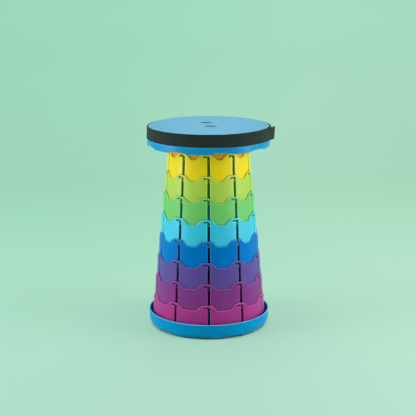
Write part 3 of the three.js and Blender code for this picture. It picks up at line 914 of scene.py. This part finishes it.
def strap_band():
    """The woven band with its rounded edges."""
    section = spread(rounded_line([
        (0, 0, STRAP_ROUNDING),
        (STRAP_THICKNESS, 0, STRAP_ROUNDING),
        (STRAP_THICKNESS, STRAP_WIDTH, STRAP_ROUNDING),
        (0, STRAP_WIDTH, STRAP_ROUNDING),
    ], closed=True), closed=True)
    skin = Skin()
    columns = []
    along = Vector((math.cos(STRAP_LEAVE), math.sin(STRAP_LEAVE)))
    for inner, outward, share, length in strap_stations():
        column = []
        for out, up, normal_out, normal_up in section:
            lean = STRAP_TAIL_LEAN * share * (1 - up / STRAP_WIDTH)
            flare = STRAP_FLARE * (1 - share) * (0.5 - up / STRAP_WIDTH)
            x, y = inner + outward * (out + flare) - along * lean
            normal = (outward.x * normal_out, outward.y * normal_out, normal_up)
            foot = STRAP_FOOT + strap_lift(inner.y)
            column.append(skin.point((x, y, foot + up), normal, 0, (length * MM, up * MM)))
        columns.append(column)
    for here, after in zip(columns, columns[1:]):
        for j in range(len(here)):
            k = (j + 1) % len(here)
            skin.face([here[j], after[j], after[k], here[k]])
    skin.face(columns[0])
    skin.face(columns[-1][::-1])
    return skin.build("strap_band")


def stitch(skin, start, end):
    """One stitch of thread, as a thin rod with domed ends."""
    middle = (start + end) / 2
    axis = (end - start).normalized()
    side = axis.orthogonal().normalized()
    other = axis.cross(side)
    half = (end - start).length / 2
    rings = []
    for share, width in STITCH_SHAPE:
        ring = []
        for i in range(STITCH_SIDES):
            angle = 2 * math.pi * i / STITCH_SIDES
            out = side * math.cos(angle) + other * math.sin(angle)
            place = middle + axis * half * share + out * STITCH_RADIUS * width
            ring.append(skin.point(place, out if width else axis * share))
        rings.append(ring)
    for near, far in zip(rings, rings[1:]):
        for i in range(STITCH_SIDES):
            j = (i + 1) % STITCH_SIDES
            skin.face([near[i], near[j], far[j], far[i]])


def stitch_path(skin, corner_at, length, width):
    """Stitches round a rectangle of a surface, whose points come from along and up."""
    sides = [((0, 0), (length, 0)), ((length, 0), (length, width)),
             ((length, width), (0, width)), ((0, width), (0, 0))]
    for start, end in sides:
        run = math.dist(start, end)
        count = int(run // STITCH_PITCH)
        for i in range(count):
            middle = (i + 0.5) * run / count
            ends = []
            for at in (middle - STITCH_LENGTH / 2, middle + STITCH_LENGTH / 2):
                along = start[0] + (end[0] - start[0]) * at / run
                up = start[1] + (end[1] - start[1]) * at / run
                ends.append(Vector(corner_at(along, up)))
            stitch(skin, *ends)


def strap_stitches():
    """Stitches that hold the hook patch to the tail and the loop patch to the turn."""
    width = STRAP_WIDTH - 2 * STITCH_INSET
    low = STRAP_FOOT + STITCH_INSET
    skin = Skin()

    def on_tail(along, up):
        return (*tail_point(HOOK_PATCH_START + STITCH_INSET / 2 + along, STRAP_THICKNESS), low + up)

    stitch_path(skin, on_tail, HOOK_PATCH_END - HOOK_PATCH_START - STITCH_INSET, width)
    radius = STRAP_INSIDE + STRAP_THICKNESS + LOOP_PATCH_THICKNESS

    def on_turn(along, up):
        return around(radius, LOOP_PATCH_START + (STITCH_INSET / 2 + along) / radius, low + up)

    stitch_path(skin, on_turn, (LOOP_PATCH_END - LOOP_PATCH_START) * radius - STITCH_INSET, width)
    return skin.build("strap_stitches")


# Materials

def linear(colour):
    """Linear colour from display values."""
    shares = []
    for value in colour:
        share = value / DISPLAY_FULL
        if value <= DISPLAY_DARK:
            shares.append(share / DISPLAY_SLOPE)
        else:
            shares.append(((share + DISPLAY_OFFSET) / (1 + DISPLAY_OFFSET)) ** DISPLAY_POWER)
    return [*shares, 1]


def new_material(name):
    material = bpy.data.materials.new(name)
    material.use_nodes = True
    nodes = material.node_tree.nodes
    return material, nodes, material.node_tree.links, nodes["Principled BSDF"]


def object_space(nodes):
    return nodes.new("ShaderNodeTexCoord").outputs["Object"]


def set_inputs(node, values):
    for name, value in values.items():
        node.inputs[name].default_value = value


def join(links, value, socket):
    """Links the output of a node to a socket, or sets a plain value there."""
    if isinstance(value, bpy.types.NodeSocket):
        links.new(value, socket)
    else:
        socket.default_value = value


def noise(nodes, links, where, kind):
    """Noise over a space, from its scale and detail."""
    scale, detail = kind
    texture = nodes.new("ShaderNodeTexNoise")
    set_inputs(texture, {"Scale": scale, "Detail": detail})
    links.new(where, texture.inputs["Vector"])
    return texture.outputs["Fac"]


def spanned(nodes, links, value, low, high, start=0, end=1):
    """A value from start to end, brought to the span from low to high."""
    span = nodes.new("ShaderNodeMapRange")
    set_inputs(span, {"From Min": start, "From Max": end, "To Min": low, "To Max": high})
    links.new(value, span.inputs["Value"])
    return span.outputs["Result"]


def computed(nodes, links, operation, *values):
    """The result of an operation on one or two values."""
    node = nodes.new("ShaderNodeMath")
    node.operation = operation
    for value, socket in zip(values, node.inputs):
        join(links, value, socket)
    return node.outputs["Value"]


def mixed(nodes, links, factor, first, second, blend="MIX"):
    """Two colours, mixed by a factor."""
    mix = nodes.new("ShaderNodeMix")
    mix.data_type = "RGBA"
    mix.blend_type = blend
    for value, number in zip((factor, first, second), MIX_COLOUR_INPUTS):
        join(links, value, mix.inputs[number])
    return mix.outputs[MIX_COLOUR_OUTPUT]


def shaded(colour, factor):
    return [value * factor for value in colour[:3]] + [1]


def mottled(nodes, links, factor, colour, shades):
    """A colour that a factor leads from one shade to another."""
    first, second = shades
    return mixed(nodes, links, factor, shaded(colour, first), shaded(colour, second))


def embossed(nodes, links, shader, height, relief):
    strength, distance = relief
    bump = nodes.new("ShaderNodeBump")
    set_inputs(bump, {"Strength": strength, "Distance": distance * MM})
    links.new(height, bump.inputs["Height"])
    links.new(bump.outputs["Normal"], shader.inputs["Normal"])


def lead_out(nodes, links, share, first, second, output):
    """Leads two shaders, mixed by a share, to the output."""
    mix = nodes.new("ShaderNodeMixShader")
    for value, socket in zip((share, first, second), mix.inputs):
        links.new(value, socket)
    links.new(mix.outputs["Shader"], nodes[output].inputs["Surface"])


def plastic(name, colour, tint=0, coat=0, paleness=EDGE_PALENESS):
    """Satin moulded plastic: fine grain, a painted highlight on edges, painted shade and more
    roughness in hollows, and painted shade in narrow gaps.
    """
    material, nodes, links, shader = new_material(name)
    where = object_space(nodes)
    base = linear(colour)
    body = mottled(nodes, links, noise(nodes, links, where, CLOUD_NOISE), base, CLOUD_SHADES)
    # Painted shade in narrow gaps, from how much of the space round a point is open
    near = nodes.new("ShaderNodeAmbientOcclusion")
    near.samples = GAP_SAMPLES
    near.inputs["Distance"].default_value = GAP_REACH * MM
    open_share = spanned(nodes, links, near.outputs["AO"], GAP_SHADE, 1)
    shade = mixed(nodes, links, open_share, shaded(base, 0), body)
    # The edge value brings a painted highlight on edges and painted shade in hollows
    edge = nodes.new("ShaderNodeAttribute")
    edge.attribute_name = "edge"
    painted_highlight = spanned(nodes, links, edge.outputs["Fac"], 0, EDGE_STRENGTH)
    bright = [min(1, value * EDGE_BRIGHTNESS + paleness) for value in base[:3]] + [1]
    paler = mixed(nodes, links, painted_highlight, shade, bright)
    # Painted shade in hollows
    painted_hollow_shade = spanned(nodes, links, edge.outputs["Fac"], 1, 0, start=-1, end=0)
    dark = shaded(base, HOLLOW_SHADE)
    links.new(mixed(nodes, links, painted_hollow_shade, paler, dark), shader.inputs["Base Color"])
    satin = spanned(nodes, links, noise(nodes, links, where, SATIN_NOISE), *SATIN_ROUGHNESS)
    dull = spanned(nodes, links, painted_hollow_shade, 0, 1, end=HOLLOW_DULL_FROM)
    links.new(computed(nodes, links, "MAXIMUM", satin, dull), shader.inputs["Roughness"])
    brightest = max(base[:3])
    set_inputs(shader, {
        "Specular IOR Level": PLASTIC_GLOSS * (1 - tint / 2),
        "Specular Tint": [1 + (value / brightest - 1) * tint for value in base[:3]] + [1],
        "Coat Weight": coat,
        "Coat Roughness": COAT_ROUGHNESS,
        "Subsurface Weight": PLASTIC_DEPTH_SHARE,
        "Subsurface Radius": (1, 1, 1),
        "Subsurface Scale": PLASTIC_DEPTH * MM,
    })
    embossed(nodes, links, shader, noise(nodes, links, where, GRAIN_NOISE), PLASTIC_RELIEF)
    return material


def webbing(name, colour, thread):
    """Woven webbing: ribs across and along, a soft fibre sheen, and painted shade along both edges.
    """
    material, nodes, links, shader = new_material(name)
    along = nodes.new("ShaderNodeUVMap")
    along.uv_map = "along"
    where = along.outputs["UV"]
    waves = []
    for direction, scale in RIB_SCALES.items():
        wave = nodes.new("ShaderNodeTexWave")
        wave.bands_direction = direction
        set_inputs(wave, {"Scale": scale, **RIB_SHAPE})
        links.new(where, wave.inputs["Vector"])
        waves.append(wave.outputs["Fac"])
    weave = computed(nodes, links, "MULTIPLY", *waves)
    fibre = spanned(nodes, links, noise(nodes, links, where, FIBRE_NOISE), 0, FIBRE_HEIGHT)
    height = computed(nodes, links, "ADD", weave, fibre)
    base = linear(colour)
    woven = mixed(nodes, links, height, base, linear(thread))
    parts = nodes.new("ShaderNodeSeparateXYZ")
    links.new(where, parts.inputs["Vector"])
    # Painted shade along both edges of the strap
    middle = STRAP_WIDTH / 2 * MM
    centred = computed(nodes, links, "SUBTRACT", parts.outputs["Y"], middle)
    off_middle = computed(nodes, links, "ABSOLUTE", centred)
    edge_shade = spanned(nodes, links, off_middle, 0, 1, middle - STRAP_EDGE_SHADE_WIDTH * MM, middle)
    dark = shaded(base, STRAP_EDGE_SHADE)
    links.new(mixed(nodes, links, edge_shade, woven, dark), shader.inputs["Base Color"])
    set_inputs(shader, WEBBING_SURFACE)
    embossed(nodes, links, shader, height, WEBBING_RELIEF)
    return material


def tape(name, colour):
    """Hook and loop tape: short dark pile."""
    material, nodes, links, shader = new_material(name)
    pile = nodes.new("ShaderNodeTexVoronoi")
    pile.inputs["Scale"].default_value = PILE_SCALE
    links.new(object_space(nodes), pile.inputs["Vector"])
    height = pile.outputs["Distance"]
    links.new(mottled(nodes, links, height, linear(colour), TAPE_SHADES), shader.inputs["Base Color"])
    set_inputs(shader, TAPE_SURFACE)
    embossed(nodes, links, shader, height, TAPE_RELIEF)
    return material


def rubber(name, colour):
    """Dusty rubber."""
    material, nodes, links, shader = new_material(name)
    where = object_space(nodes)
    dust = noise(nodes, links, where, DUST_NOISE)
    links.new(mottled(nodes, links, dust, linear(colour), RUBBER_SHADES), shader.inputs["Base Color"])
    links.new(spanned(nodes, links, dust, *RUBBER_ROUGHNESS), shader.inputs["Roughness"])
    embossed(nodes, links, shader, noise(nodes, links, where, RUBBER_NOISE), RUBBER_RELIEF)
    return material


def steel(name, colour):
    """Plain steel of the screws."""
    material, nodes, links, shader = new_material(name)
    where = object_space(nodes)
    base = linear(colour)
    brushed = noise(nodes, links, where, BRUSHED_NOISE)
    polished = noise(nodes, links, where, POLISHED_NOISE)
    links.new(mottled(nodes, links, brushed, base, STEEL_SHADES), shader.inputs["Base Color"])
    links.new(spanned(nodes, links, polished, *STEEL_ROUGHNESS), shader.inputs["Roughness"])
    shader.inputs["Metallic"].default_value = 1
    return material


def background_rays(nodes, links):
    """One for the rays that show the background: seen directly, in gloss or through glass."""
    rays = nodes.new("ShaderNodeLightPath")
    either = rays.outputs["Is Camera Ray"]
    for kind in ("Is Glossy Ray", "Is Transmission Ray"):
        either = computed(nodes, links, "MAXIMUM", either, rays.outputs[kind])
    return either


def backdrop_paint():
    """Mint paper whose colour shows, with a painted gradient of light and painted shade on its left,
    and with part of it left to light and shadow near the object.
    """
    material, nodes, links, shader = new_material("backdrop_paint")
    place = object_space(nodes)
    parts = nodes.new("ShaderNodeSeparateXYZ")
    links.new(place, parts.inputs["Vector"])
    distance = nodes.new("ShaderNodeVectorMath")
    distance.operation = "LENGTH"
    links.new(place, distance.inputs[0])

    def ramp(output, start, end, high=1):
        return spanned(nodes, links, output, 0, high, start * MM, end * MM)

    # Painted shade that darkens the left side
    across = ramp(parts.outputs["X"], -SIDE_SHADE_REACH, SIDE_SHADE_REACH)
    # Painted gradient of light from the front of the floor to its back and up the wall
    back = ramp(parts.outputs["Y"], FLOOR_FADE_START, FLOOR_FADE_END)
    height = ramp(parts.outputs["Z"], 0, WALL_FADE)
    far = ramp(distance.outputs["Value"], FAR_START, FAR_END)
    near_glow = ramp(distance.outputs["Value"], GLOW_START, GLOW_END, BACKDROP_GLOW)
    wall = linear(WALL_COLOUR)
    floor = mixed(nodes, links, back, linear(FLOOR_FRONT_COLOUR), linear(FLOOR_BACK_COLOUR))
    plain = mixed(nodes, links, height, floor, wall)
    tint = mixed(nodes, links, across, linear(LEFT_SIDE_SHADE), linear(RIGHT_SIDE_SHADE))
    colour = mixed(nodes, links, far, mixed(nodes, links, 1, plain, tint, blend="MULTIPLY"), wall)
    links.new(colour, shader.inputs["Base Color"])
    shader.inputs["Roughness"].default_value = PAPER_ROUGHNESS
    glow = nodes.new("ShaderNodeEmission")
    links.new(colour, glow.inputs["Color"])
    glow_share = computed(nodes, links, "MAXIMUM", near_glow, far)
    seen_share = computed(nodes, links, "MULTIPLY", background_rays(nodes, links), glow_share)
    shaders = (shader.outputs["BSDF"], glow.outputs["Emission"])
    lead_out(nodes, links, seen_share, *shaders, "Material Output")
    return material


# Assembly

def dress(piece, material, body, slot, *nodes):
    """Gives a piece its material and its body, and hides the nodes that it stands for. The slot is
    not used.
    """
    piece.data.materials.append(material)
    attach(piece, body)
    if nodes:
        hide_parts(*nodes)
    return piece


def paint_node(name, material):
    """Gives a kept node a better material."""
    for material_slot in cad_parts[name].material_slots:
        material_slot.material = material


def add_rings():
    for number, (name, body) in enumerate(zip(RING_NAMES, RING_BODIES)):
        paint = plastic("plastic_" + name, *RING_LOOKS[name])
        dress(ring_shell(number), paint, body, name, "ring_" + name)


def add_shells():
    polished = plastic("plastic_seat", SHELL_COLOUR, tint=1, coat=SEAT_COAT)
    satin = plastic("plastic_tray", SHELL_COLOUR, tint=1, paleness=TRAY_EDGE_PALENESS)
    dress(seat_shell(), polished, "seat", "shell_blue", "seat_cover")
    dress(tray_shell(), satin, "base", "shell_blue", "base_tray")
    paint_node("seat_hub", satin)


def add_feet():
    paint = rubber("rubber", RUBBER_COLOUR)
    for name, middle in foot_middles().items():
        dress(rubber_foot(name + "_tread", middle), paint, "base", "foot_rubber", name)


def add_screws():
    paint = steel("steel", STEEL_COLOUR)
    for i in range(SCREW_COUNT):
        paint_node(f"tray_screw_{i + 1}", paint)
        paint_node(f"seat_screw_{i + 1}", paint)


def add_strap():
    woven = webbing("webbing", STRAP_COLOUR, STRAP_THREAD_COLOUR)
    thread = webbing("thread", STITCH_COLOUR, STRAP_THREAD_COLOUR)
    band = dress(strap_band(), woven, "seat", "webbing", "strap")
    stitches = dress(strap_stitches(), thread, "seat", "webbing")
    pile = tape("tape", TAPE_COLOUR)
    paint_node("strap_hook_patch", pile)
    paint_node("strap_loop_patch", pile)


# Stage, camera and light

def add_backdrop():
    """Floor that bends up into a wall behind the object."""
    line = [(BACKDROP_FRONT, 0), (BACKDROP_BEND, 0)]
    for i in range(1, ROUND_STEPS + 1):
        angle = math.pi / 2 * i / ROUND_STEPS
        line.append((BACKDROP_BEND + BACKDROP_BEND_RADIUS * math.sin(angle),
                     BACKDROP_BEND_RADIUS * (1 - math.cos(angle))))
    line.append((BACKDROP_BEND + BACKDROP_BEND_RADIUS, BACKDROP_HEIGHT))
    points = [Vector((side * BACKDROP_HALF_WIDTH, y, z)) * MM for y, z in line for side in (-1, 1)]
    faces = [(2 * i, 2 * i + 1, 2 * i + 3, 2 * i + 2) for i in range(len(line) - 1)]
    mesh = bpy.data.meshes.new("backdrop")
    mesh.from_pydata(points, [], faces)
    mesh.shade_smooth()
    backdrop = bpy.data.objects.new("backdrop", mesh)
    bpy.context.scene.collection.objects.link(backdrop)
    mesh.materials.append(backdrop_paint())


def add_camera():
    data = bpy.data.cameras.new("camera")
    data.lens = CAMERA_LENS
    camera = bpy.data.objects.new("camera", data)
    camera.location = Vector(CAMERA_PLACE) * MM
    camera.rotation_euler = (math.pi / 2 - CAMERA_PITCH, CAMERA_ROLL, 0)
    bpy.context.scene.collection.objects.link(camera)
    bpy.context.scene.camera = camera


def add_light(name, place, target, size, power):
    data = bpy.data.lights.new(name, "AREA")
    data.shape = "DISK"
    data.size = size * MM
    data.energy = power
    lamp = bpy.data.objects.new(name, data)
    lamp.location = Vector(place) * MM
    lamp.rotation_euler = (Vector(place) - Vector(target)).to_track_quat("Z", "Y").to_euler()
    bpy.context.scene.collection.objects.link(lamp)


def add_lights():
    middle = (0, 0, SEAT_TOP / 2)
    x, y, z = SIDE_LIGHT_PLACE
    add_light("left_light", (-x, y, z), middle, SIDE_LIGHT_SIZE, SIDE_LIGHT)
    add_light("right_light", (x, y, z), middle, SIDE_LIGHT_SIZE, SIDE_LIGHT)
    add_light("top_light", TOP_LIGHT_PLACE, middle, TOP_LIGHT_SIZE, TOP_LIGHT)
    add_light("back_light", BACK_LIGHT_PLACE, middle, BACK_LIGHT_SIZE, BACK_LIGHT)


def add_world():
    """Soft pale light all round, which shows in the backdrop's own colour."""
    world = bpy.data.worlds.new("world")
    world.use_nodes = True
    nodes, links = world.node_tree.nodes, world.node_tree.links
    light = nodes["Background"]
    set_inputs(light, {"Color": linear(WORLD_COLOUR), "Strength": WORLD_STRENGTH})
    seen = nodes.new("ShaderNodeBackground")
    seen.inputs["Color"].default_value = linear(WALL_COLOUR)
    shaders = (light.outputs["Background"], seen.outputs["Background"])
    lead_out(nodes, links, background_rays(nodes, links), *shaders, "World Output")
    bpy.context.scene.world = world


add_rings()
add_shells()
add_feet()
add_screws()
add_strap()
add_backdrop()
add_camera()
add_lights()
add_world()
bpy.context.scene.view_settings.view_transform = "Standard"
